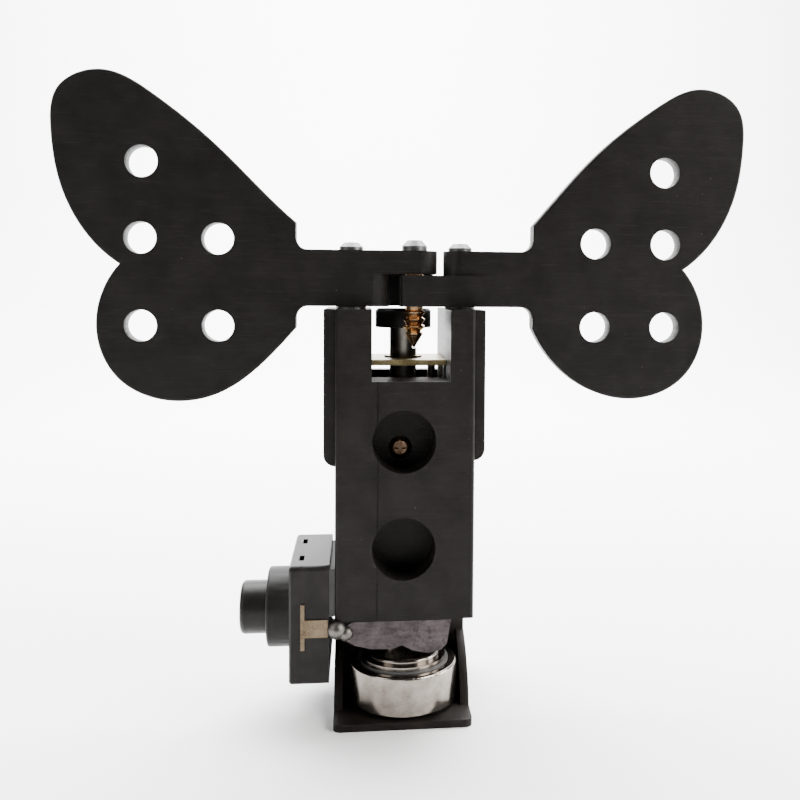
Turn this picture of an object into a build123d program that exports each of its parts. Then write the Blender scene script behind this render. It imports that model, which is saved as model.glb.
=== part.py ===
"""Flapping butterfly decoy: a small geared motor in an upright plastic body drives two wings.

Millimetres, +Z up. The origin is on the motor shaft's line, at the underside of the battery
box. The front faces -Y, and the push switch is on the -X side.
"""
from build123d import *
import math
import os

os.makedirs("parts", exist_ok=True)

# ---------------------------------------------------------------- driving dimensions
# body
body_x = (-7.3, 6.95)
lug_x = (-8.5, 8.1)
front_y = -10.5
back_y = 6.5
body_z = 11.5            # underside of the body, top of the battery box
lug_z = (27.3, 27.75)    # underside of the wide upper part, left and right
post_top = 43.35
lug_inset = 1.0          # the wide part stands back from the front face
window_x = (-3.62, 4.4)  # opening between the two posts
window_z = 36.05
pocket_x = -0.3
pocket_z = (18.85, 29.9)
pocket_r = 3.25
pocket_depth = 4.0
seam_x = -3.0            # fine groove down the front

# geared motor
motor_w = 12.0           # across the round sides
motor_d = 10.0           # across the flats
motor_z = 13.5
can_z = 14.7
gearbox_z = 28.5
gearbox_top = 37.9
plate_t = 0.6
fit = 0.05
shaft_r = 1.5
shaft_flat = 1.0         # the flat's distance from the shaft's axis
shaft_top = 43.0

# gears
module = 0.2
pinion_teeth = 8
wheel_teeth = 24
gear_gap = (pinion_teeth + wheel_teeth) * module / 2
backlash = 0.05
low_mesh = (29.6, 31.2)
high_mesh = (31.9, 33.9)
axle_r = 0.45

# crank and levers
crank_z = (41.25, 43.35)
crank_r = 3.1
crank_throw = 1.25
pin_r = 0.7
pin_top = 49.0
arm_z = (43.65, 49.5)
split_z = 47.0           # between the upper and the lower tongue
split_gap = 0.15
pivot_x = 5.75
pivot_y = -5.8
arm_half = 1.8           # half the arm's depth
knuckle_x = 0.9
knuckle_r = 0.95
slot_clear = 0.28        # the crank's slot, wide enough for a half turn
fork_clear = 0.1
pivot_r = 0.75
running = 0.06
head_r = 1.25
head_t = 0.8
knuckle_head_t = 1.15
screw_tip_z = 39.15

# wings: distances outwards from the middle of the pair
wing_t = 2.0
wing_mid = 0.45
wing_root = {-1: 11.85, 1: 12.9}
hole_r = 1.62
hole_cols = (27.34, 19.68)
hole_rows = (50.46, 41.57)
top_hole = (27.17, 58.14)

# battery box and cell
box_x = (-7.45, 6.95)
base_t = 0.8
cradle_y = -1.0          # front face of the block behind the cell
cell_y = -4.5
cell_r = 5.8
cell_z = 1.02
cell_h = 5.4
contact_t = 0.2

# push switch
switch_x = (-11.9, -7.85)
switch_lid_x = -10.53    # joint between the lid and the base
switch_z = (5.1, 17.3)
switch_y = (-10.5, 2.7)
collar_r = 4.2
collar_x = -14.5
button_r = 2.8
button_x = -17.35
wire_r = 0.4


def save(part, name):
    """Label a finished piece and write it."""
    part.label = name
    export_step(part, f"parts/{name}.step")


def block(x, y, z, mode=Mode.ADD):
    """A box from its low and high sides along each axis."""
    with Locations(((x[0] + x[1]) / 2, (y[0] + y[1]) / 2, (z[0] + z[1]) / 2)):
        Box(x[1] - x[0], y[1] - y[0], z[1] - z[0], mode=mode)


def disc(radius, z, at=(0, 0), mode=Mode.ADD):
    """An upright cylinder from its low and high ends."""
    with Locations((at[0], at[1], (z[0] + z[1]) / 2)):
        Cylinder(radius, z[1] - z[0], mode=mode)


def cross_bar(radius, x, at, mode=Mode.ADD):
    """A cylinder along X from its low and high ends, at a Y and a Z."""
    with Locations(Location(((x[0] + x[1]) / 2, at[0], at[1]), (0, 90, 0))):
        Cylinder(radius, x[1] - x[0], mode=mode)


def solids_at(part, planes):
    """The same piece at several planes, as separate solids."""
    return Compound(children=[plane.location * part for plane in planes])


def screw(shank_r, length, cap_r, cap_t):
    """A cross-headed screw along -Z, with the underside of its head at Z = 0."""
    with BuildPart() as made:
        with BuildSketch(Plane.XZ):
            with BuildLine():
                Polyline((0, cap_t), (cap_r * 0.6, cap_t), (cap_r, cap_t * 0.4), (cap_r, 0),
                         (shank_r, 0), (shank_r, 0.5 - length), (0, -length), close=True)
            make_face()
        revolve(axis=Axis.Z)
        with Locations((0, 0, cap_t - 0.15)):
            Box(cap_r * 1.1, cap_r * 0.26, 0.4, mode=Mode.SUBTRACT)
            Box(cap_r * 0.26, cap_r * 1.1, 0.4, mode=Mode.SUBTRACT)
    return made.part


# ---------------------------------------------------------------- body
cavity_half_x = motor_w / 2 + fit
cavity_half_y = motor_d / 2 + fit
floor_top = motor_z - 0.4
joint_y = 0.0            # the two halves meet here
lug_corner = 1.2
cover_screw_at = [(-6.0, 40.2), (6.2, 40.2)]
cover_screw_r = 0.6
clamp_head_t = 0.6
pocket_floor = Plane(origin=(pocket_x - 0.25, front_y + pocket_depth, gearbox_z + 0.2),
                     z_dir=(0, -1, 0))
clamp_seat = pocket_floor.offset(-clamp_head_t)    # the clamp screw's head lies flush
strap_hole = Plane(origin=(-3.6, -7.9, body_z), z_dir=(0, 0, -1))
pivots = [(-pivot_x, pivot_y), (pivot_x, pivot_y)]
vent_z = (19.5, 22.0, 24.5, 27.0)


def body_half(y_low, y_high, lug_front):
    """One half of the body: plain lower part, wide upper part, window, motor space, floor hole."""
    with BuildPart() as half:
        block(body_x, (y_low, y_high), (body_z, post_top))
        with BuildSketch(Plane.XZ.offset(-y_high)) as wide:
            with BuildLine():
                Polyline((lug_x[0], lug_z[0]), (lug_x[0], post_top), (lug_x[1], post_top),
                         (lug_x[1], lug_z[1]), (0, lug_z[1]), (0, lug_z[0]), close=True)
            make_face()
            low_corners = [v for v in wide.vertices() if abs(v.X) > 1 and v.Y < post_top - 1]
            fillet(low_corners, radius=lug_corner)
        extrude(amount=y_high - lug_front)
        block(window_x, (y_low, y_high), (window_z, post_top), mode=Mode.SUBTRACT)
        block((-cavity_half_x, cavity_half_x),
              (max(y_low, -cavity_half_y), min(y_high, cavity_half_y)),
              (floor_top, gearbox_top + fit), mode=Mode.SUBTRACT)
        block((-5.2, 5.2), (max(y_low, -2.5), min(y_high, 4.8)), (body_z, floor_top),
              mode=Mode.SUBTRACT)
    return half.part


with BuildPart() as front_housing:
    add(body_half(front_y, joint_y, front_y + lug_inset))
    front_corners = front_housing.edges().filter_by(Axis.Z).group_by(Axis.Y)[0].sort_by(Axis.X)
    fillet([front_corners[0], front_corners[-1]], radius=0.35)
    for z in pocket_z:
        with Locations(Plane(origin=(pocket_x, front_y, z), z_dir=(0, -1, 0))):
            Hole(pocket_r, depth=pocket_depth)
    block((seam_x - 0.1, seam_x + 0.1), (front_y, front_y + 0.1), (body_z, window_z),
          mode=Mode.SUBTRACT)
    for x, y in pivots:
        with Locations((x, y, post_top)):
            Hole(pivot_r + 0.02, depth=5.2)
    with Locations(pocket_floor):
        CounterBoreHole(0.82, 1.25, clamp_head_t, depth=2)
    for x, z in cover_screw_at:
        with Locations(Plane(origin=(x, joint_y, z), z_dir=(0, 1, 0))):
            Hole(cover_screw_r + 0.02, depth=3.5)
    with Locations(strap_hole):
        Hole(0.62, depth=3.5)
save(front_housing.part, "front_housing")

with BuildPart() as rear_cover:
    add(body_half(joint_y, back_y, joint_y))
    for x, z in cover_screw_at:
        with Locations(Plane(origin=(x, back_y, z), z_dir=(0, 1, 0))):
            CounterBoreHole(cover_screw_r + 0.08, 1.35, 1.0, depth=7)
    # slots that let the motor's heat out
    for z in vent_z:
        block((-3.5, 3.5), (cavity_half_y - 0.5, back_y), (z - 0.45, z + 0.45),
              mode=Mode.SUBTRACT)
save(rear_cover.part, "rear_cover")

save(solids_at(screw(cover_screw_r, 8.4, 1.25, 0.8),
               [Plane(origin=(x, back_y - 1.0, z), z_dir=(0, 1, 0)) for x, z in cover_screw_at]),
     "cover_screws")
save(solids_at(screw(0.8, 0.82, 1.2, clamp_head_t), [clamp_seat]), "clamp_screw")

# ---------------------------------------------------------------- geared motor
shell_t = 0.5


def round_sided(radius, depth, z):
    """A cylinder whose front and back are cut flat, the outline of the motor."""
    with BuildPart() as made:
        disc(radius, z)
        block((-radius, radius), (-depth / 2, depth / 2), z, mode=Mode.INTERSECT)
    return made.part


with BuildPart() as motor_can:
    add(round_sided(motor_w / 2, motor_d, (can_z, gearbox_z)))
    add(round_sided(motor_w / 2 - shell_t, motor_d - 2 * shell_t, (can_z, gearbox_z - shell_t)),
        mode=Mode.SUBTRACT)
    disc(1.3, (gearbox_z - shell_t, gearbox_z), mode=Mode.SUBTRACT)
save(motor_can.part, "motor_can")

terminal_x = 3.6
plug_top = can_z + 0.8   # the end cap's plug reaches this far into the can
with BuildPart() as motor_end_cap:
    add(round_sided(motor_w / 2, motor_d, (motor_z, can_z)))
    add(round_sided(motor_w / 2 - shell_t - fit, motor_d - 2 * shell_t - 2 * fit,
                    (can_z, plug_top)))
    disc(2.4, (motor_z + 0.5, plug_top), mode=Mode.SUBTRACT)
    disc(0.55, (motor_z, motor_z + 0.5), mode=Mode.SUBTRACT)
    for x in (-terminal_x, terminal_x):
        block((x - 0.6, x + 0.6), (-0.16, 0.16), (motor_z, plug_top), mode=Mode.SUBTRACT)
save(motor_end_cap.part, "motor_end_cap")

with BuildPart() as motor_terminals:
    for x in (-terminal_x, terminal_x):
        block((x - 0.55, x + 0.55), (-0.12, 0.12), (motor_z - 1.7, plug_top - 0.2))
save(motor_terminals.part, "motor_terminals")

rotor_r = 3.6
magnet_z = (can_z + 2.6, gearbox_z - 1.6)
rotor_z = (magnet_z[0] + 0.8, magnet_z[1] - 0.8)
with BuildPart() as motor_magnets:
    disc(motor_w / 2 - shell_t - 0.1, magnet_z)
    disc(rotor_r + 0.25, magnet_z, mode=Mode.SUBTRACT)
    block((-motor_w / 2, motor_w / 2), (-2.4, 2.4), magnet_z, mode=Mode.INTERSECT)
save(motor_magnets.part, "motor_magnets")

motor_shaft_r = 0.5
with BuildPart() as armature:
    disc(rotor_r, rotor_z)
    with Locations((0, 0, sum(rotor_z) / 2)):
        with PolarLocations(rotor_r - 1.0, 3, start_angle=60):
            Box(2.6, 0.8, rotor_z[1] - rotor_z[0] + 0.2, mode=Mode.SUBTRACT)
    disc(motor_shaft_r, rotor_z, mode=Mode.SUBTRACT)
save(armature.part, "armature")

commutator_z = (plug_top, rotor_z[0] - 0.2)
with BuildPart() as commutator:
    disc(1.5, commutator_z)
    disc(motor_shaft_r, commutator_z, mode=Mode.SUBTRACT)
save(commutator.part, "commutator")

with BuildPart() as motor_shaft:
    disc(motor_shaft_r, (motor_z + 0.2, low_mesh[1]))
save(motor_shaft.part, "motor_shaft")

# ---------------------------------------------------------------- gears
pressure = math.radians(20)


def half_tooth_angle(teeth, radius):
    """Half the angle that a tooth of an involute gear takes at a radius."""
    pitch_r = teeth * module / 2
    base_r = pitch_r * math.cos(pressure)
    steep = math.acos(min(1.0, base_r / radius))
    roll = math.tan(steep) - steep
    start = math.tan(pressure) - pressure
    return math.pi / (2 * teeth) - backlash / (2 * pitch_r) + start - roll


def gear(teeth, z, turned=0.0):
    """A spur gear about the Z axis, with a tooth towards +X turned by an angle in degrees."""
    pitch_r = teeth * module / 2
    tip_r, root_r = pitch_r + 0.9 * module, pitch_r - 1.25 * module
    base_r = max(root_r, pitch_r * math.cos(pressure))
    flank = [(root_r, half_tooth_angle(teeth, base_r)), (pitch_r, half_tooth_angle(teeth, pitch_r)),
             (tip_r, half_tooth_angle(teeth, tip_r))]
    outline = []
    for tooth in range(teeth):
        middle = math.radians(turned) + 2 * math.pi * tooth / teeth
        for radius, half in flank:
            outline.append((radius * math.cos(middle - half), radius * math.sin(middle - half)))
        for radius, half in reversed(flank):
            outline.append((radius * math.cos(middle + half), radius * math.sin(middle + half)))
    with BuildPart() as made:
        with BuildSketch(Plane.XY.offset(z[0])):
            with BuildLine():
                Polyline(*outline, close=True)
            make_face()
        extrude(amount=z[1] - z[0])
    return made.part


with BuildPart() as motor_pinion:
    add(gear(pinion_teeth, low_mesh))
    disc(motor_shaft_r, low_mesh, mode=Mode.SUBTRACT)
save(motor_pinion.part, "motor_pinion")

half_pitch = 180 / wheel_teeth
side_gear_at = Location((gear_gap, 0, 0))
side_gear_top = high_mesh[1] + 0.4
with BuildPart() as side_gear:
    add(gear(wheel_teeth, low_mesh, half_pitch).moved(side_gear_at))
    add(gear(pinion_teeth, (low_mesh[1], side_gear_top)).moved(side_gear_at))
    disc(axle_r + running, (low_mesh[0], side_gear_top), at=(gear_gap, 0), mode=Mode.SUBTRACT)
save(side_gear.part, "side_gear")

bush_r = 2.1
with BuildPart() as gearbox_plates:
    for low in (gearbox_z, gearbox_top - plate_t):
        block((-motor_w / 2, motor_w / 2), (-motor_d / 2, motor_d / 2), (low, low + plate_t))
    fillet(gearbox_plates.edges().filter_by(Axis.Z), radius=0.8)
    disc(1.4, (gearbox_z, gearbox_z + plate_t), mode=Mode.SUBTRACT)
    disc(bush_r, (gearbox_top - plate_t, gearbox_top), mode=Mode.SUBTRACT)
    disc(axle_r, (gearbox_z, gearbox_top), at=(gear_gap, 0), mode=Mode.SUBTRACT)
save(gearbox_plates.part, "gearbox_plates")

with BuildPart() as gearbox_posts:
    for x in (-4.9, 4.9):
        for y in (-3.9, 3.9):
            disc(0.7, (gearbox_z + plate_t, gearbox_top - plate_t), at=(x, y))
save(gearbox_posts.part, "gearbox_posts")

with BuildPart() as gear_axle:
    disc(axle_r, (gearbox_z, gearbox_top), at=(gear_gap, 0))
save(gear_axle.part, "gear_axle")

with BuildPart() as shaft_bush:
    disc(bush_r, (gearbox_top - plate_t, gearbox_top + 0.2))
    disc(shaft_r + running, (gearbox_top - plate_t, gearbox_top + 0.2), mode=Mode.SUBTRACT)
save(shaft_bush.part, "shaft_bush")

with BuildPart() as output_shaft:
    disc(shaft_r, (high_mesh[0] - 0.4, shaft_top))
    block((shaft_flat, shaft_r + 1), (-shaft_r, shaft_r), (gearbox_top + 1.0, shaft_top),
          mode=Mode.SUBTRACT)
    chamfer(output_shaft.faces().sort_by(Axis.Z)[-1].edges(), length=0.2)
save(output_shaft.part, "output_shaft")

with BuildPart() as output_gear:
    add(gear(wheel_teeth, high_mesh, half_pitch))
    disc(shaft_r, high_mesh, mode=Mode.SUBTRACT)
save(output_gear.part, "output_gear")

# ---------------------------------------------------------------- crank
with BuildPart() as crank:
    disc(crank_r, crank_z)
    chamfer(crank.faces().sort_by(Axis.Z)[-1].edges(), length=0.25)
    disc(shaft_r, (crank_z[0], shaft_top), mode=Mode.SUBTRACT)
    block((shaft_flat, shaft_r), (-shaft_r, shaft_r), (crank_z[0], shaft_top))
    disc(pin_r, (shaft_top, crank_z[1]), at=(crank_throw, 0), mode=Mode.SUBTRACT)
save(crank.part, "crank")

with BuildPart() as crank_pin:
    disc(pin_r, (shaft_top + 0.02, pin_top), at=(crank_throw, 0))
    chamfer(crank_pin.faces().sort_by(Axis.Z)[-1].edges(), length=0.15)
save(crank_pin.part, "crank_pin")

# ---------------------------------------------------------------- wings and levers
wing_y = (pivot_y - arm_half, pivot_y - arm_half + wing_t)
upper_z = (split_z + split_gap / 2, arm_z[1])
lower_z = (arm_z[0], split_z - split_gap / 2)
root_z = (41.4, 52.3)    # ends of the straight inner edge


def bar(x_low, x_high, half, z):
    """A flat bar along X, on the pivots' line, with its right end round."""
    block((x_low, x_high - half), (pivot_y - half, pivot_y + half), z)
    disc(half, z, at=(x_high - half, pivot_y))


def wing_plate(side):
    """The heart-shaped plate of one wing, on the left for side -1 and on the right for 1."""
    def at(outwards, z):
        return (wing_mid + side * outwards, z)

    root = wing_root[side]
    arm_middle = (arm_z[0] + arm_z[1]) / 2
    with BuildPart() as made:
        with BuildSketch(Plane.XZ.offset(-wing_y[1])) as outline:
            with BuildLine():
                Line(at(root, root_z[0]), at(root, root_z[1]))
                Spline(at(root, root_z[1]), at(19.6, 59.8), at(26.2, 65.1), at(31.2, 67.2),
                       at(35.2, 65.3), at(35.9, 61.0), at(35.1, 55.9), at(33.0, 51.4),
                       at(29.4, 47.8))
                Spline(at(29.4, 47.8), at(31.3, 44.4), at(31.6, 40.3), at(29.6, 36.2),
                       at(24.6, 33.9), at(19.5, 34.7), at(15.5, 37.5), at(root, root_z[0]))
            make_face()
            with Locations(at(root - 1.3, arm_middle)):
                Rectangle(2.6, arm_z[1] - arm_z[0])
            inner = [v for v in outline.vertices()
                     if abs(v.X - at(root, 0)[0]) < 0.01 and abs(v.Y - arm_middle) < 3]
            fillet(inner, radius=1.2)
        extrude(amount=wing_t)
        holes = [(x, z) for x in hole_cols for z in hole_rows] + [top_hole]
        for x, z in holes:
            with Locations(Plane(origin=(at(x, z)[0], wing_y[0], z), z_dir=(0, -1, 0))):
                Hole(hole_r, depth=wing_t)
        fillet(made.faces().filter_by(Axis.Y).edges().filter_by(GeomType.BSPLINE), radius=0.25)
    return made.part


slot_half = pin_r + slot_clear
slot_reach = crank_throw + pin_r + 0.5
lobe_x = (-3.7, 3.2)
lobe_back = 2.3
with BuildPart() as left_wing:
    add(wing_plate(-1))
    bar(wing_mid - wing_root[-1] - 1.0, -1.75, arm_half, arm_z)
    bar(-4.2, 3.3, arm_half, upper_z)
    # the slotted plate behind the bar, deep at the back where it is clear of the fork
    block(lobe_x, (pivot_y, lobe_back), upper_z)
    block(lobe_x, (-1.5, lobe_back), (arm_z[0], upper_z[0]))
    lobe_edges = left_wing.edges().filter_by(Axis.Z).filter_by(
        lambda edge: edge.center().Y > lobe_back - 0.1)
    fillet(lobe_edges, radius=1.2)
    block((-slot_reach, slot_reach), (-slot_half, slot_half), arm_z, mode=Mode.SUBTRACT)
    for x in (-slot_reach, slot_reach):
        disc(slot_half, arm_z, at=(x, 0), mode=Mode.SUBTRACT)
    disc(pivot_r + running, arm_z, at=pivots[0], mode=Mode.SUBTRACT)
    disc(knuckle_r + 0.01, upper_z, at=(knuckle_x, pivot_y), mode=Mode.SUBTRACT)
save(left_wing.part, "left_wing")

fork_end = -0.65
fork_half = arm_half + 0.4
fork_slot = knuckle_r + fork_clear
fork_seat = knuckle_x + 0.3
with BuildPart() as right_wing:
    add(wing_plate(1))
    block((pivot_x, wing_mid + wing_root[1] + 1.0), (pivot_y - arm_half, pivot_y + arm_half),
          arm_z)
    disc(arm_half, arm_z, at=pivots[1])
    block((fork_end, pivot_x + 2.4), (pivot_y - fork_half, pivot_y + fork_half), lower_z)
    fillet(right_wing.edges().filter_by(Axis.Z).group_by(Axis.X)[0], radius=0.5)
    block((fork_end, fork_seat), (pivot_y - fork_slot, pivot_y + fork_slot), lower_z,
          mode=Mode.SUBTRACT)
    disc(fork_slot, lower_z, at=(fork_seat, pivot_y), mode=Mode.SUBTRACT)
    disc(pivot_r + running, arm_z, at=pivots[1], mode=Mode.SUBTRACT)
save(right_wing.part, "right_wing")

save(solids_at(screw(pivot_r, 10.8, head_r, head_t),
               [Plane(origin=(x, y, arm_z[1] + 0.03)) for x, y in pivots]), "pivot_screws")

with BuildPart() as pivot_washers:
    for x, y in pivots:
        disc(1.6, (post_top, arm_z[0] - 0.03), at=(x, y))
        disc(pivot_r + 0.05, (post_top, arm_z[0]), at=(x, y), mode=Mode.SUBTRACT)
save(pivot_washers.part, "pivot_washers")

# the knuckle: a pointed brass screw whose coarse thread hangs bare below the tongues
thread_r = 1.15
core_r = 0.85
thread_pitch = 0.75
taper = 2.4              # the thread shrinks over this length above the tip
thread_z = (screw_tip_z, lower_z[0] - 0.35)
knuckle_seat = arm_z[1] + 0.02
knuckle_top = arm_z[1] + knuckle_head_t
with BuildPart() as knuckle_screw:
    crest = []
    for turn in range(int((thread_z[1] - thread_z[0] - 1.0) / thread_pitch)):
        top = thread_z[1] - turn * thread_pitch
        shrink = min(1.0, (top - thread_z[0]) / taper)
        crest += [(core_r * shrink, top), (thread_r * shrink, top - 0.3 * thread_pitch),
                  (thread_r * shrink, top - 0.45 * thread_pitch)]
    with BuildSketch(Plane.XZ):
        with BuildLine():
            Polyline((0, knuckle_top), (head_r * 0.6, knuckle_top), (1.34, knuckle_seat + 0.5),
                     (1.34, knuckle_seat), (knuckle_r, knuckle_seat), (knuckle_r, thread_z[1]),
                     *crest, (0, thread_z[0]), close=True)
        make_face()
    revolve(axis=Axis.Z)
    with Locations((0, 0, knuckle_top - 0.15)):
        Box(head_r * 1.1, 0.34, 0.4, mode=Mode.SUBTRACT)
        Box(0.34, head_r * 1.1, 0.4, mode=Mode.SUBTRACT)
save(solids_at(knuckle_screw.part, [Plane(origin=(knuckle_x, pivot_y, 0))]), "knuckle_screw")

# ---------------------------------------------------------------- battery box
cradle_r = cell_r + 0.2
partition_back = 2.5
room_y = (partition_back, back_y - 1.0)
room_half = 5.4
wire_y = 3.9
wire_exit_z = 6.4
side_wall = 0.9
with BuildPart() as battery_box:
    block(box_x, (front_y, back_y), (0, base_t))
    fillet(battery_box.edges().filter_by(Axis.Z).group_by(Axis.Y)[0], radius=0.8)
    block(box_x, (cradle_y, back_y), (base_t, body_z))
    # the side walls sweep forward to meet the base
    for x in (box_x[0], box_x[1] - side_wall):
        with BuildSketch(Plane.YZ.offset(x)):
            with BuildLine():
                Line((cradle_y, base_t), (cradle_y, 7.0))
                RadiusArc((cradle_y, 7.0), (cradle_y - 6.0, base_t), -8.4)
                Line((cradle_y - 6.0, base_t), (cradle_y, base_t))
            make_face()
        extrude(amount=side_wall)
    disc(cradle_r, (base_t, body_z), at=(0, cell_y), mode=Mode.SUBTRACT)
    block((-room_half, room_half), room_y, (base_t, body_z), mode=Mode.SUBTRACT)
    # way for the lower contact, under the partition
    block((1.4, 4.6), (0.0, room_y[0]), (base_t, base_t + 0.5), mode=Mode.SUBTRACT)
    cross_bar(wire_r + 0.3, (box_x[0], -room_half), (wire_y, wire_exit_z), mode=Mode.SUBTRACT)
save(battery_box.part, "battery_box")

joint_z = 4.0            # the lower contact's wire is soldered at this height
with BuildPart() as lower_contact:
    block((-2.5, 2.5), (-8.5, 0.8), (base_t, base_t + contact_t))
    block((1.6, 2.5), (0.8, 4.7), (base_t, base_t + contact_t))
    block((2.5, 4.4), (2.7, 4.7), (base_t, base_t + contact_t))
    block((2.8, 4.4), (4.7, 4.7 + contact_t), (base_t, joint_z))
    block((2.8, 4.4), (3.2, 4.7 + contact_t), (joint_z, joint_z + contact_t))
save(lower_contact.part, "lower_contact")

can_h = 4.3
cup_r = 4.85
with BuildPart() as cell_can:
    disc(cell_r, (cell_z, cell_z + can_h), at=(0, cell_y))
    fillet(cell_can.edges().sort_by(Axis.Z)[0], radius=0.3)
    fillet(cell_can.edges().sort_by(Axis.Z)[-1], radius=0.25)
    disc(cup_r, (cell_z + 0.4, cell_z + can_h), at=(0, cell_y), mode=Mode.SUBTRACT)
save(cell_can.part, "cell_can")

gasket_r = cup_r - 0.01
with BuildPart() as cell_gasket:
    disc(gasket_r, (cell_z + 0.4, cell_z + can_h + 0.15), at=(0, cell_y))
    disc(gasket_r - 0.3, (cell_z + 0.8, cell_z + can_h + 0.15), at=(0, cell_y),
         mode=Mode.SUBTRACT)
save(cell_gasket.part, "cell_gasket")

with BuildPart() as cell_cap:
    disc(gasket_r - 0.31, (cell_z + 0.82, cell_z + can_h + 0.55), at=(0, cell_y))
    disc(3.9, (cell_z + can_h + 0.55, cell_z + cell_h), at=(0, cell_y))
    fillet(cell_cap.edges().sort_by(Axis.Z)[-1], radius=0.3)
save(cell_cap.part, "cell_cap")

# ---------------------------------------------------------------- upper contact
strap_t = 0.3
strap_x = (-6.1, 4.6)
strap_z = body_z - 0.05
lip_back = front_y + strap_t
with BuildPart() as contact_strap:
    block((strap_x[0] + 0.6, strap_x[1]), (front_y, cradle_y - 0.1),
          (strap_z - strap_t, strap_z))
    with BuildSketch(Plane.XZ.offset(-lip_back)):
        with BuildLine():
            Polyline((strap_x[0], strap_z - 0.35), (strap_x[0], 9.5), (-5.2, 9.0), (-3.6, 8.6),
                     (-1.5, 8.55), (-0.4, 8.9), (0.7, 8.3), (2.3, 8.0), (3.6, 8.3), (4.2, 8.9),
                     (strap_x[1], strap_z), (strap_x[0] + 0.6, strap_z), close=True)
        make_face()
    extrude(amount=strap_t)
    with Locations(strap_hole):
        Hole(0.66, depth=1)
save(contact_strap.part, "contact_strap")

strap_screw_at = Plane(origin=(strap_hole.origin.X, strap_hole.origin.Y, strap_z - strap_t),
                       z_dir=(0, 0, -1))
save(solids_at(screw(0.6, 3.4, 1.1, 0.6), [strap_screw_at]), "strap_screw")

# a cone of wire, from the cell's cap up to the strap
spring_wire = 0.22
spring_z = (cell_z + cell_h + spring_wire + 0.06, strap_z - strap_t - spring_wire - 0.02)
with BuildPart() as contact_spring:
    with BuildLine():
        coil = Helix(pitch=(spring_z[1] - spring_z[0]) / 3.4, height=spring_z[1] - spring_z[0],
                     radius=1.9, center=(0, cell_y, spring_z[0]), cone_angle=18)
    with BuildSketch(Plane(origin=coil @ 0, z_dir=coil % 0)):
        Circle(spring_wire)
    sweep(is_frenet=True)
save(contact_spring.part, "contact_spring")

# ---------------------------------------------------------------- push switch
switch_mid = ((switch_y[0] + switch_y[1]) / 2, (switch_z[0] + switch_z[1]) / 2)
bar_x = (switch_lid_x - 0.2, switch_lid_x + 0.2)
bar_z = (8.75, 13.45)    # the terminals' T bars
tab_z = (10.05, 11.85)
tab_end = -8.0
rims = [(switch_y[0], switch_y[0] + 1), (switch_y[1] - 1, switch_y[1])]


def switch_slice(x):
    """A slice of the switch's case, with its long edges rounded."""
    with BuildPart() as made:
        block(x, switch_y, switch_z)
        fillet(made.edges().filter_by(Axis.X), radius=0.5)
    return made.part


with BuildPart() as switch_base:
    add(switch_slice((switch_lid_x, switch_x[1])))
    block((switch_lid_x, switch_x[1] - 0.6), (switch_y[0] + 1, switch_y[1] - 1),
          (switch_z[0] + 1, switch_z[1] - 1), mode=Mode.SUBTRACT)
    for rim in rims:
        block((switch_lid_x, bar_x[1]), rim, bar_z, mode=Mode.SUBTRACT)
save(switch_base.part, "switch_base")

with BuildPart() as switch_lid:
    add(switch_slice((switch_x[0], switch_lid_x)))
    chamfer(switch_lid.faces().sort_by(Axis.X)[0].edges(), length=0.2)
    cross_bar(collar_r, (collar_x, switch_x[0]), switch_mid)
    fillet(switch_lid.faces().sort_by(Axis.X)[0].edges(), radius=0.3)
    cross_bar(button_r + 0.12, (collar_x, switch_lid_x), switch_mid, mode=Mode.SUBTRACT)
    cross_bar(button_r + 0.8, (collar_x + 0.9, switch_lid_x), switch_mid, mode=Mode.SUBTRACT)
    for rim in rims:
        block((bar_x[0], switch_lid_x), rim, bar_z, mode=Mode.SUBTRACT)
    # snap windows in the top
    for y in (-7.3, -0.7):
        block((switch_lid_x - 0.5, switch_lid_x), (y - 0.9, y + 0.9),
              (switch_z[1] - 0.5, switch_z[1]), mode=Mode.SUBTRACT)
save(switch_lid.part, "switch_lid")

with BuildPart() as switch_button:
    cross_bar(button_r, (button_x, collar_x + 2.6), switch_mid)
    fillet(switch_button.faces().sort_by(Axis.X)[0].edges(), radius=0.5)
    cross_bar(button_r + 0.6, (collar_x + 0.95, collar_x + 1.5), switch_mid)
    cross_bar(1.9, (collar_x + 1.6, collar_x + 2.6), switch_mid, mode=Mode.SUBTRACT)
save(switch_button.part, "switch_button")

spring_seat = switch_x[1] - 0.6
with BuildPart() as button_spring:
    with BuildLine():
        wound = Helix(pitch=0.75, height=spring_seat - collar_x - 2.3, radius=1.5,
                      center=(collar_x + 1.95, *switch_mid), direction=(1, 0, 0))
    with BuildSketch(Plane(origin=wound @ 0, z_dir=wound % 0)):
        Circle(0.15)
    sweep(is_frenet=True)
save(button_spring.part, "button_spring")

with BuildPart() as switch_terminals:
    block(bar_x, (front_y - 0.2, front_y + 0.8), bar_z)
    block((bar_x[1], tab_end), (front_y - 0.2, front_y), tab_z)
    block(bar_x, (switch_y[1] - 0.8, switch_y[1] + 0.2), bar_z)
    block((bar_x[1], tab_end), (switch_y[1], switch_y[1] + 0.2), tab_z)
save(switch_terminals.part, "switch_terminals")

with BuildPart() as switch_pad:
    block((switch_x[1], body_x[0]), (-10.1, 1.0), (12.0, 16.9))
save(switch_pad.part, "switch_pad")

# ---------------------------------------------------------------- wires and solder
wire_end_z = motor_z - 1.1
tab_wire_x = -8.7
tab_wire_y = switch_y[1] + 0.22 + wire_r


def wire(points, bends):
    """A round wire of straight runs joined by arcs."""
    with BuildPart() as made:
        with BuildLine():
            route = FilletPolyline(*points, radius=bends)
        with BuildSketch(Plane(origin=route @ 0, z_dir=route % 0)):
            Circle(wire_r)
        sweep()
    return made.part


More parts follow.
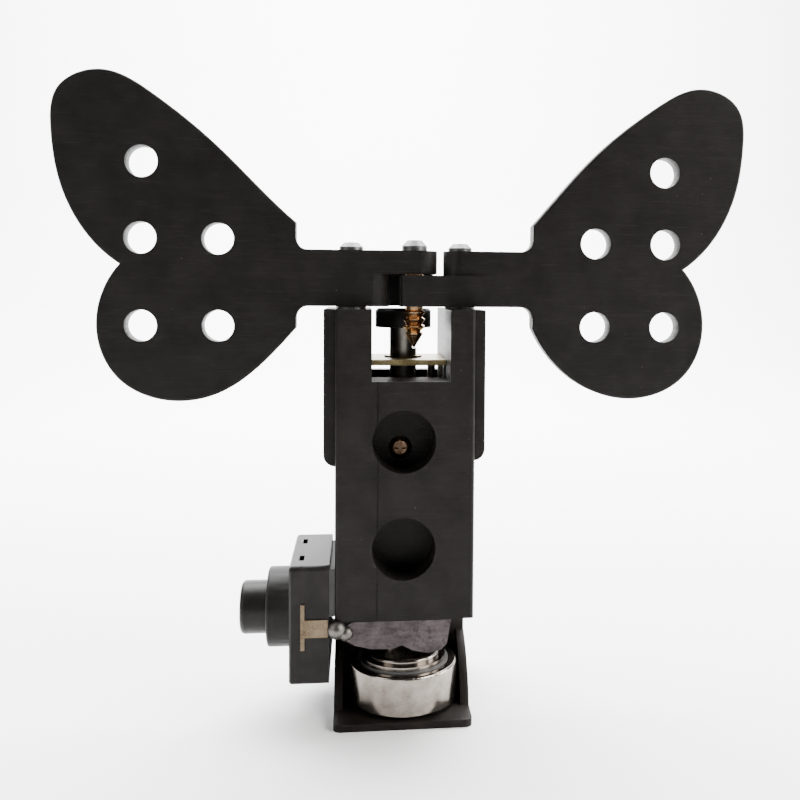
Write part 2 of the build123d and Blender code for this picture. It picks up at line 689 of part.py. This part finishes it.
joint_top = joint_z + contact_t
save(wire([(terminal_x, 0.14, wire_end_z), (terminal_x, wire_y, wire_end_z),
           (terminal_x, wire_y, joint_top + 0.02)], 1.4), "contact_wire")
save(wire([(-terminal_x, 0.14, wire_end_z), (-terminal_x, wire_y, wire_end_z),
           (-terminal_x, wire_y, wire_exit_z), (tab_wire_x, wire_y, wire_exit_z),
           (tab_wire_x, tab_wire_y, 9.4), (tab_wire_x, tab_wire_y, 11.2)],
          [1.4, 1.4, 1.2, 0.9]), "switch_wire")

# two beads from the front terminal to the strap, one on each wire's far end
with BuildPart() as solder_joints:
    with Locations((-7.1, front_y + 0.1, 10.75)):
        Sphere(1.0)
    with Locations((-6.2, front_y + 0.1, 10.35)):
        Sphere(0.8)
    block((-9, -4), (front_y, 0), (7, 14), mode=Mode.SUBTRACT)
    with Locations((tab_wire_x, tab_wire_y - 0.05, 11.45)):
        Sphere(0.6)
    block((-10, -7), (0, switch_y[1] + 0.2), (10, 13), mode=Mode.SUBTRACT)
    block((-10, -7), (0, 4), (10, 11.2), mode=Mode.SUBTRACT)
    with Locations((terminal_x, wire_y, joint_top + 0.2)):
        Sphere(0.65)
    block((2, 5), (3, 4.7), (joint_z - 1, joint_top), mode=Mode.SUBTRACT)
    disc(wire_r, (joint_top, joint_top + 2), at=(terminal_x, wire_y), mode=Mode.SUBTRACT)
save(solder_joints.part, "solder_joints")
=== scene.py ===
"""Looks of the flapping butterfly decoy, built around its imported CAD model. Metres, +Z up."""

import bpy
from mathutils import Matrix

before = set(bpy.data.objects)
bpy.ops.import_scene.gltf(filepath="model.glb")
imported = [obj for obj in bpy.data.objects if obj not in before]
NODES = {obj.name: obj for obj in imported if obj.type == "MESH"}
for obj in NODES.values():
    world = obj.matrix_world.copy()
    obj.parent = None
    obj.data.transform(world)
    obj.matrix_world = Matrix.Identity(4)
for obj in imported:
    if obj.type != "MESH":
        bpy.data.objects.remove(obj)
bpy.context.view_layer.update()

import math

import bpy
from mathutils import Matrix, Vector

MM = 0.001
KNUCKLE_HEAD_Z = 48.0    # millimetres: zinc above this height and bare brass below it
SEEN_WHITE = 2.6         # the surroundings' strength where the camera looks straight at them
DIM_ROOM = 0.16          # and where they only light the object
SCRATCH = (0.05, 0.046, 0.042)
PRINT_DUST = (0.16, 0.15, 0.14)
MOULD_DUST = (0.14, 0.135, 0.13)


# ---------------------------------------------------------------- camera, lights, floor
def make_camera():
    """A close camera, a little left of the shaft and just below the arms."""
    data = bpy.data.cameras.new("camera")
    data.lens = 41.8
    data.shift_x, data.shift_y = -0.0855, -0.0855
    data.sensor_width = 36.0
    data.clip_start = 0.005
    camera = bpy.data.objects.new("camera", data)
    bpy.context.scene.collection.objects.link(camera)
    yaw, pitch, roll = (math.radians(a) for a in (-6.65, -2.41, -0.46))
    turn = (Matrix.Rotation(yaw, 4, "Z") @ Matrix.Rotation(math.pi / 2 + pitch, 4, "X")
            @ Matrix.Rotation(-roll, 4, "Z"))
    camera.matrix_world = Matrix.Translation(Vector((-4.8, -104.65, 45.18)) * MM) @ turn
    bpy.context.scene.camera = camera


def make_light(name, place, target, size, power, colour=(1, 1, 1)):
    """A soft square lamp at a place, in millimetres, pointing at a target."""
    data = bpy.data.lights.new(name, "AREA")
    data.shape = "RECTANGLE"
    data.size, data.size_y = size[0] * MM, size[1] * MM
    data.energy = power
    data.color = colour
    lamp = bpy.data.objects.new(name, data)
    bpy.context.scene.collection.objects.link(lamp)
    aim = Vector(target) - Vector(place)
    lamp.matrix_world = (Matrix.Translation(Vector(place) * MM)
                         @ aim.to_track_quat("-Z", "Y").to_matrix().to_4x4())


def make_studio():
    """Dim grey surroundings seen as white, soft lamps and a pale floor that curves up behind."""
    world = bpy.data.worlds.new("studio")
    bpy.context.scene.world = world
    world.use_nodes = True
    tree = world.node_tree
    seen = tree.nodes["Background"]
    seen.inputs["Color"].default_value = (1, 1, 1, 1)
    seen.inputs["Strength"].default_value = SEEN_WHITE
    dim = tree.nodes.new("ShaderNodeBackground")
    dim.inputs["Color"].default_value = (1, 0.98, 0.96, 1)
    dim.inputs["Strength"].default_value = DIM_ROOM
    path = tree.nodes.new("ShaderNodeLightPath")
    either = tree.nodes.new("ShaderNodeMixShader")
    tree.links.new(path.outputs["Is Camera Ray"], either.inputs[0])
    tree.links.new(dim.outputs[0], either.inputs[1])
    tree.links.new(seen.outputs[0], either.inputs[2])
    tree.links.new(either.outputs[0], tree.nodes["World Output"].inputs[0])

    make_light("key", (210, -130, 150), (0, 0, 30), (130, 150), 1.1, (1, 0.98, 0.95))
    make_light("side", (190, 10, 40), (0, 0, 10), (60, 120), 0.35)
    make_light("fill", (-190, -150, 150), (0, 0, 30), (120, 120), 0.30)
    make_light("top", (0, 130, 300), (0, 150, 0), (420, 260), 7.0)
    make_light("backdrop", (0, 180, 330), (0, 440, 120), (500, 120), 9.0)

    mesh = bpy.data.meshes.new("floor")
    profile = [(-600, 0), (260, 0), (330, 12), (385, 45), (425, 100), (440, 170), (440, 700)]
    verts = [(x * MM, y * MM, z * MM) for y, z in profile for x in (-900, 900)]
    faces = [(2 * i, 2 * i + 1, 2 * i + 3, 2 * i + 2) for i in range(len(profile) - 1)]
    mesh.from_pydata(verts, [], faces)
    mesh.polygons.foreach_set("use_smooth", [True] * len(faces))
    floor = bpy.data.objects.new("floor", mesh)
    bpy.context.scene.collection.objects.link(floor)
    paint = bpy.data.materials.new("floor_paper")
    paint.use_nodes = True
    shader = paint.node_tree.nodes["Principled BSDF"]
    shader.inputs["Base Color"].default_value = (0.93, 0.93, 0.93, 1)
    shader.inputs["Roughness"].default_value = 0.85
    mesh.materials.append(paint)


# ---------------------------------------------------------------- materials
class Shader:
    """A node material whose textures are laid out in millimetres on the object."""

    def __init__(self, name, rough=0.5, metallic=0.0, ior=1.5, specular=0.5):
        self.material = bpy.data.materials.new(name)
        self.material.use_nodes = True
        self.tree = self.material.node_tree
        self.bsdf = self.tree.nodes["Principled BSDF"]
        self.bsdf.inputs["Metallic"].default_value = metallic
        self.bsdf.inputs["Roughness"].default_value = rough
        self.bsdf.inputs["IOR"].default_value = ior
        self.bsdf.inputs["Specular IOR Level"].default_value = specular
        coords = self.tree.nodes.new("ShaderNodeTexCoord")
        self.mm = self.vector("MULTIPLY", coords.outputs["Object"], (1000, 1000, 1000))

    def link(self, source, target):
        if hasattr(source, "is_linked"):
            self.tree.links.new(source, target)
        else:
            target.default_value = source

    def vector(self, operation, a, b):
        node = self.tree.nodes.new("ShaderNodeVectorMath")
        node.operation = operation
        self.link(a, node.inputs[0])
        self.link(b, node.inputs[1])
        return node.outputs[0]

    def math(self, operation, a, b=0.0, c=0.0):
        node = self.tree.nodes.new("ShaderNodeMath")
        node.operation = operation
        for value, socket in zip((a, b, c), node.inputs):
            self.link(value, socket)
        return node.outputs[0]

    def stretched(self, stretch, turn=(0, 0, 0)):
        """The millimetre coordinates, scaled along each axis and turned in degrees."""
        node = self.tree.nodes.new("ShaderNodeMapping")
        node.inputs["Scale"].default_value = stretch
        node.inputs["Rotation"].default_value = tuple(math.radians(a) for a in turn)
        self.link(self.mm, node.inputs["Vector"])
        return node.outputs[0]

    def noise(self, scale, detail=3.0, stretch=(1, 1, 1), turn=(0, 0, 0), rough=0.55):
        node = self.tree.nodes.new("ShaderNodeTexNoise")
        node.inputs["Scale"].default_value = scale
        node.inputs["Detail"].default_value = detail
        node.inputs["Roughness"].default_value = rough
        self.link(self.stretched(stretch, turn), node.inputs["Vector"])
        return node.outputs["Fac"]

    def spots(self, scale, radius):
        """Sparse round specks: 1 inside a speck and 0 outside it."""
        node = self.tree.nodes.new("ShaderNodeTexVoronoi")
        node.inputs["Scale"].default_value = scale
        self.link(self.mm, node.inputs["Vector"])
        near = self.ramp(node.outputs["Distance"], ((radius * 0.6, 1.0), (radius, 0.0)))
        split = self.tree.nodes.new("ShaderNodeSeparateColor")
        self.link(node.outputs["Color"], split.inputs[0])
        return self.math("MULTIPLY", near, self.ramp(split.outputs[0], ((0.78, 0.0), (0.95, 1.0))))

    def ramp(self, source, stops):
        """Grey values at positions along a source."""
        node = self.tree.nodes.new("ShaderNodeValToRGB")
        ends = node.color_ramp.elements
        for i, (position, value) in enumerate(stops):
            stop = ends[i] if i < 2 else ends.new(position)
            stop.position = position
            stop.color = (value, value, value, 1)
        self.link(source, node.inputs[0])
        return node.outputs["Color"]

    def mix(self, factor, a, b):
        node = self.tree.nodes.new("ShaderNodeMix")
        node.data_type = "RGBA"
        self.link(factor, node.inputs["Factor"])
        for value, socket in ((a, node.inputs[6]), (b, node.inputs[7])):
            self.link((*value, 1) if isinstance(value, tuple) else value, socket)
        return node.outputs[2]

    def colour(self, source):
        self.link(source, self.bsdf.inputs["Base Color"])

    def roughness(self, source, low, high):
        scaled = self.math("MULTIPLY_ADD", source, high - low, low)
        self.link(scaled, self.bsdf.inputs["Roughness"])

    def bump(self, height, depth_mm, strength=1.0):
        node = self.tree.nodes.new("ShaderNodeBump")
        node.inputs["Strength"].default_value = strength
        node.inputs["Distance"].default_value = depth_mm * MM
        self.link(height, node.inputs["Height"])
        self.link(node.outputs["Normal"], self.bsdf.inputs["Normal"])

    def scratches(self, turn, density=0.66):
        """Thin straight marks, along X before they are turned about Y."""
        lines = self.noise(2.2, 2.0, stretch=(0.12, 1.0, 5.0), turn=(0, turn, 0))
        return self.ramp(lines, ((density, 0.0), (density + 0.05, 1.0)))


def printed_plastic(name, dark, light, rough=(0.36, 0.56), layer=0.2, layer_depth=0.012):
    """Black printed plastic: fine layer lines, cloudy sheen, faint streaks, scratches and dust."""
    s = Shader(name, specular=0.1)
    split = s.tree.nodes.new("ShaderNodeSeparateXYZ")
    s.link(s.mm, split.inputs[0])
    lines = s.math("SINE", s.math("MULTIPLY", split.outputs["Z"], 2 * math.pi / layer))
    lines = s.math("MULTIPLY_ADD", lines, 0.5, 0.5)
    cloud = s.noise(0.35, 4.0)
    streak = s.noise(1.0, 3.0, stretch=(0.12, 0.12, 2.6))
    grain = s.noise(9.0, 3.0)
    marks = s.math("MAXIMUM", s.scratches(38), s.scratches(-62, 0.69))
    tone = s.math("MULTIPLY_ADD", streak, 0.22, s.math("MULTIPLY", cloud, 0.78))
    base = s.mix(s.ramp(tone, ((0.36, 0.0), (0.66, 1.0))), dark, light)
    base = s.mix(s.math("MULTIPLY", marks, 0.10), base, SCRATCH)
    base = s.mix(s.math("MULTIPLY", s.spots(1.1, 0.06), 0.4), base, PRINT_DUST)
    s.colour(base)
    s.roughness(s.math("MULTIPLY_ADD", streak, 0.6, s.math("MULTIPLY", grain, 0.4)), *rough)
    height = s.math("MULTIPLY_ADD", lines, 0.6, s.math("MULTIPLY", grain, 0.5))
    s.bump(s.math("SUBTRACT", height, s.math("MULTIPLY", marks, 0.4)), layer_depth)
    return s.material


def moulded_plastic(name, dark, light, rough=(0.4, 0.55), grain_depth=0.006):
    """Moulded black plastic with a fine spark-eroded texture and a little dust."""
    s = Shader(name, specular=0.14)
    grain = s.noise(14.0, 3.0)
    cloud = s.noise(0.5, 3.0)
    base = s.mix(s.ramp(cloud, ((0.35, 0.0), (0.7, 1.0))), dark, light)
    base = s.mix(s.math("MULTIPLY", s.spots(1.3, 0.06), 0.4), base, MOULD_DUST)
    s.colour(base)
    s.roughness(s.math("MULTIPLY_ADD", cloud, 0.5, s.math("MULTIPLY", grain, 0.5)), *rough)
    s.bump(grain, grain_depth)
    return s.material


def metal(name, dark, light, rough=(0.18, 0.32), brush=(1, 1, 1), depth=0.003, stain=None):
    """Bare metal: brushed along the short-scaled axis, with cloudy tarnish."""
    s = Shader(name, metallic=1.0)
    lines = s.noise(6.0, 3.0, stretch=brush)
    cloud = s.noise(0.7, 4.0)
    base = s.mix(s.ramp(s.math("MULTIPLY_ADD", lines, 0.4, s.math("MULTIPLY", cloud, 0.6)),
                        ((0.35, 0.0), (0.65, 1.0))), dark, light)
    if stain:
        base = s.mix(s.ramp(s.noise(1.4, 5.0), ((0.52, 0.0), (0.68, 0.8))), base, stain)
    s.colour(base)
    s.roughness(s.math("MULTIPLY_ADD", lines, 0.5, s.math("MULTIPLY", cloud, 0.5)), *rough)
    s.bump(lines, depth)
    return s.material


def plain_plastic(name, dark, light, rough=(0.35, 0.5)):
    """Smooth insulation or nylon with slight colour variation."""
    s = Shader(name)
    cloud = s.noise(1.6, 3.0)
    s.colour(s.mix(cloud, dark, light))
    s.roughness(cloud, *rough)
    s.bump(s.noise(10.0, 2.0), 0.003)
    return s.material


def dress(node, *materials):
    """Give a CAD node its materials."""
    mesh = NODES[node].data
    mesh.materials.clear()
    for material in materials:
        mesh.materials.append(material)
    for polygon in mesh.polygons:
        polygon.material_index = 0


def dress_above(node, material, height_mm):
    """Give the faces of a CAD node above a height another material."""
    piece = NODES[node]
    piece.data.materials.append(material)
    index = len(piece.data.materials) - 1
    for polygon in piece.data.polygons:
        if (piece.matrix_world @ polygon.center).z > height_mm * MM:
            polygon.material_index = index


def soften(node, width_mm, segments=2):
    """Round a CAD node's sharp edges, and give the rounding the node's second material, a lighter
    copy of its plastic that paints a highlight along the edges.
    """
    piece = NODES[node]
    weld = piece.modifiers.new("weld", "WELD")
    weld.merge_threshold = 1e-6
    bevel = piece.modifiers.new("edge", "BEVEL")
    bevel.width = width_mm * MM
    bevel.segments = segments
    bevel.limit_method = "ANGLE"
    bevel.angle_limit = math.radians(35)
    bevel.harden_normals = True
    bevel.use_clamp_overlap = True
    if len(piece.data.materials) > 1:
        bevel.material = 1


make_camera()
make_studio()

INK = (0.0045, 0.0038, 0.0033)
SOOT = (0.0085, 0.0075, 0.0066)
body_black = printed_plastic("body_black", INK, SOOT)
wing_black = printed_plastic("wing_black", (0.0038, 0.0033, 0.003), (0.007, 0.0063, 0.0058),
                             rough=(0.42, 0.58), layer=0.28)
box_black = printed_plastic("box_black", (0.004, 0.003, 0.0026), (0.013, 0.010, 0.0085),
                            rough=(0.45, 0.65))
# a lighter copy of the printed black for the rounded edges: a painted highlight, not a real finish
edge_highlight_black = printed_plastic("edge_highlight_black", (0.012, 0.011, 0.010), (0.03, 0.027, 0.025),
                             rough=(0.35, 0.5))
switch_black = moulded_plastic("switch_black", (0.004, 0.0034, 0.003), (0.010, 0.0088, 0.008))
# a lighter copy of the moulded black for the rounded edges: a painted highlight, not a real finish
switch_edge_highlight = moulded_plastic("switch_edge_highlight", (0.014, 0.013, 0.012), (0.03, 0.028, 0.026))
button_black = moulded_plastic("button_black", (0.005, 0.0045, 0.004), (0.011, 0.010, 0.0095),
                               rough=(0.32, 0.45), grain_depth=0.003)
zinc = metal("zinc", (0.05, 0.05, 0.05), (0.16, 0.16, 0.16), rough=(0.32, 0.46))
copper = metal("copper_plate", (0.045, 0.027, 0.016), (0.18, 0.12, 0.08), rough=(0.32, 0.46))
brass = metal("brass", (0.50, 0.27, 0.12), (0.95, 0.66, 0.38), rough=(0.14, 0.28))
pale_brass = metal("pale_brass", (0.13, 0.10, 0.045), (0.34, 0.28, 0.14), rough=(0.3, 0.44))
gold = metal("terminal_gold", (0.06, 0.044, 0.028), (0.15, 0.115, 0.078), rough=(0.34, 0.5))
nickel = metal("strap_nickel", (0.028, 0.023, 0.024), (0.075, 0.064, 0.067), rough=(0.34, 0.52),
               brush=(0.2, 0.3, 0.4), depth=0.05, stain=(0.02, 0.016, 0.016))
steel = metal("steel", (0.20, 0.19, 0.17), (0.38, 0.36, 0.33), rough=(0.28, 0.44))
spring_wire = metal("spring_wire", (0.12, 0.11, 0.09), (0.28, 0.26, 0.23), rough=(0.2, 0.34))
cell_steel = metal("cell_steel", (0.14, 0.12, 0.10), (0.30, 0.27, 0.24), rough=(0.14, 0.26),
                   brush=(0.4, 0.4, 6), depth=0.0015)
iron = metal("iron", (0.06, 0.06, 0.065), (0.14, 0.14, 0.145), rough=(0.4, 0.6))
tin = metal("solder_tin", (0.05, 0.045, 0.04), (0.14, 0.13, 0.12), rough=(0.28, 0.5), depth=0.03)
nylon = plain_plastic("nylon", (0.62, 0.61, 0.56), (0.78, 0.77, 0.72))
gasket = plain_plastic("gasket", (0.05, 0.05, 0.05), (0.10, 0.10, 0.10))
foam = plain_plastic("foam_tape", (0.03, 0.03, 0.03), (0.07, 0.07, 0.07), rough=(0.7, 0.9))
red_wire = plain_plastic("red_insulation", (0.35, 0.015, 0.01), (0.5, 0.03, 0.02))
black_wire = plain_plastic("black_insulation", (0.012, 0.012, 0.012), (0.03, 0.03, 0.03))

FINISHES = {
    body_black: ["front_housing", "rear_cover"],
    wing_black: ["left_wing", "right_wing"],
    box_black: ["battery_box"],
    switch_black: ["switch_base", "switch_lid", "crank"],
    button_black: ["switch_button"],
    nylon: ["motor_end_cap"],
    zinc: ["cover_screws", "pivot_screws", "strap_screw", "pivot_washers"],
    copper: ["clamp_screw", "commutator"],
    brass: ["knuckle_screw"],
    pale_brass: ["motor_pinion", "side_gear", "output_gear", "shaft_bush", "gearbox_plates"],
    gold: ["switch_terminals", "motor_terminals"],
    nickel: ["contact_strap", "lower_contact"],
    steel: ["motor_can", "output_shaft", "crank_pin", "gearbox_posts", "gear_axle",
            "motor_shaft"],
    spring_wire: ["contact_spring", "button_spring"],
    cell_steel: ["cell_can", "cell_cap"],
    iron: ["armature", "motor_magnets"],
    tin: ["solder_joints"],
    gasket: ["cell_gasket"],
    foam: ["switch_pad"],
    red_wire: ["contact_wire"],
    black_wire: ["switch_wire"],
}
# the rounded edges of these parts get the lighter copies above, which paint highlights on them
EDGE_HIGHLIGHTS = {body_black: edge_highlight_black, wing_black: edge_highlight_black, box_black: edge_highlight_black,
         switch_black: switch_edge_highlight}
for finish, nodes in FINISHES.items():
    for node in nodes:
        dress(node, finish, *([EDGE_HIGHLIGHTS[finish]] if finish in EDGE_HIGHLIGHTS else []))
dress_above("knuckle_screw", zinc, KNUCKLE_HEAD_Z)
for node, width in (("front_housing", 0.14), ("rear_cover", 0.14), ("left_wing", 0.13),
                    ("right_wing", 0.13), ("battery_box", 0.13), ("switch_base", 0.1),
                    ("switch_lid", 0.1), ("crank", 0.1)):
    soften(node, width)
